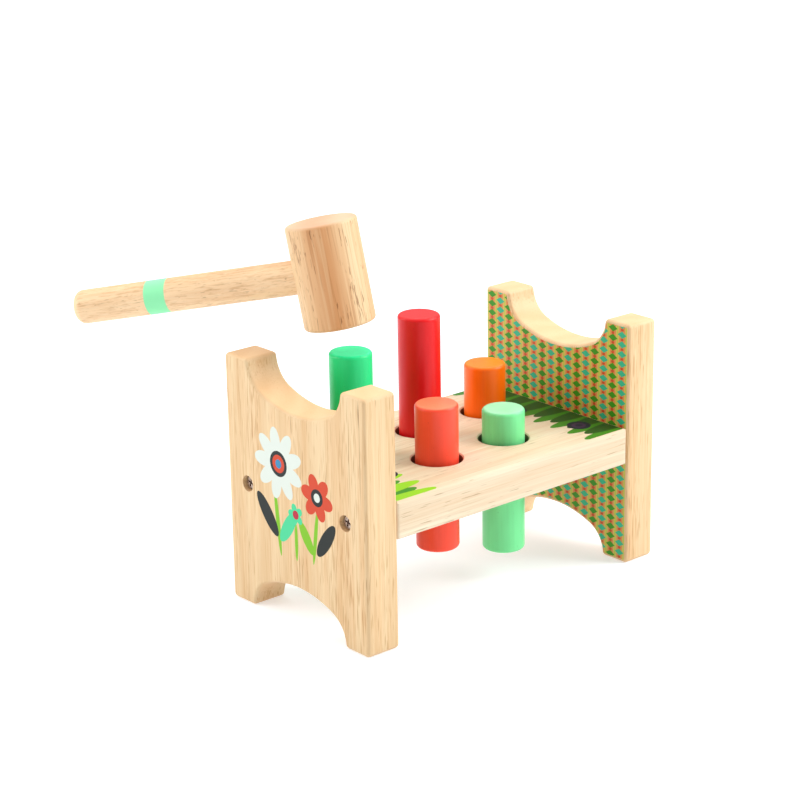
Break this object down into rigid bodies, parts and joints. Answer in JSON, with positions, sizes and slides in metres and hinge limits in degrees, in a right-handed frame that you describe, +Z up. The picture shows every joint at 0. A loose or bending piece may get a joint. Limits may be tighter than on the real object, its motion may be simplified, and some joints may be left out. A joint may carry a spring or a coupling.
{
  "type": "peg pounding bench",
  "caption": "Reversible wooden pounding bench: scooped end panels carry a level board with round pegs that slide down through grip rings, and a round-headed hammer.",
  "frame": {"origin": "on the table, midway between the four feet", "axes": "+X along the bench from the end under the hammer to the patterned end, -Y towards the user, +Z up"},
  "size_m": [0.2599, 0.2168, 0.2205],
  "materials": {
    "panel_wood": "sanded rubberwood under thin clear lacquer, with printed ornament",
    "board_wood": "sanded rubberwood under thin clear lacquer, with printed leaves",
    "head_wood": "turned rubberwood under thin clear lacquer",
    "handle_wood": "turned rubberwood under thin clear lacquer, with one painted ring",
    "green_paint": "satin green paint on wood",
    "red_paint": "satin red paint on wood",
    "orange_paint": "satin orange paint on wood",
    "coral_paint": "satin coral paint on wood",
    "mint_paint": "satin mint paint on wood",
    "ring_rubber": "matte",
    "screw_steel": "dull zinc"
  },
  "bodies": {
    "bench": {"left_panel": "panel_wood", "right_panel": "panel_wood", "bench_board": "board_wood", "green_ring": "ring_rubber", "red_ring": "ring_rubber", "orange_ring": "ring_rubber", "coral_ring": "ring_rubber", "mint_ring": "ring_rubber", "left_front_screw": "screw_steel", "left_back_screw": "screw_steel", "right_front_screw": "screw_steel", "right_back_screw": "screw_steel"},
    "green_peg": {"green_peg": "green_paint"},
    "red_peg": {"red_peg": "red_paint"},
    "orange_peg": {"orange_peg": "orange_paint"},
    "coral_peg": {"coral_peg": "coral_paint"},
    "mint_peg": {"mint_peg": "mint_paint"},
    "hammer": {"hammer_head": "head_wood", "hammer_handle": "handle_wood"}
  },
  "joints": [
    {"name": "green_peg_slide", "type": "slide", "parent": "bench", "child": "green_peg", "axis": [0, 0, 1], "range_m": [-0.057, 0.012]},
    {"name": "red_peg_slide", "type": "slide", "parent": "bench", "child": "red_peg", "axis": [0, 0, 1], "range_m": [-0.0685, 0.0005]},
    {"name": "orange_peg_slide", "type": "slide", "parent": "bench", "child": "orange_peg", "axis": [0, 0, 1], "range_m": [-0.0285, 0.0405]},
    {"name": "coral_peg_slide", "type": "slide", "parent": "bench", "child": "coral_peg", "axis": [0, 0, 1], "range_m": [-0.031, 0.038]},
    {"name": "mint_peg_slide", "type": "slide", "parent": "bench", "child": "mint_peg", "axis": [0, 0, 1], "range_m": [-0.0165, 0.0525]},
    {"name": "hammer_lift", "type": "slide", "parent": "bench", "child": "hammer", "axis": [0, 0, 1], "range_m": [0, 0.1]}
  ]
}
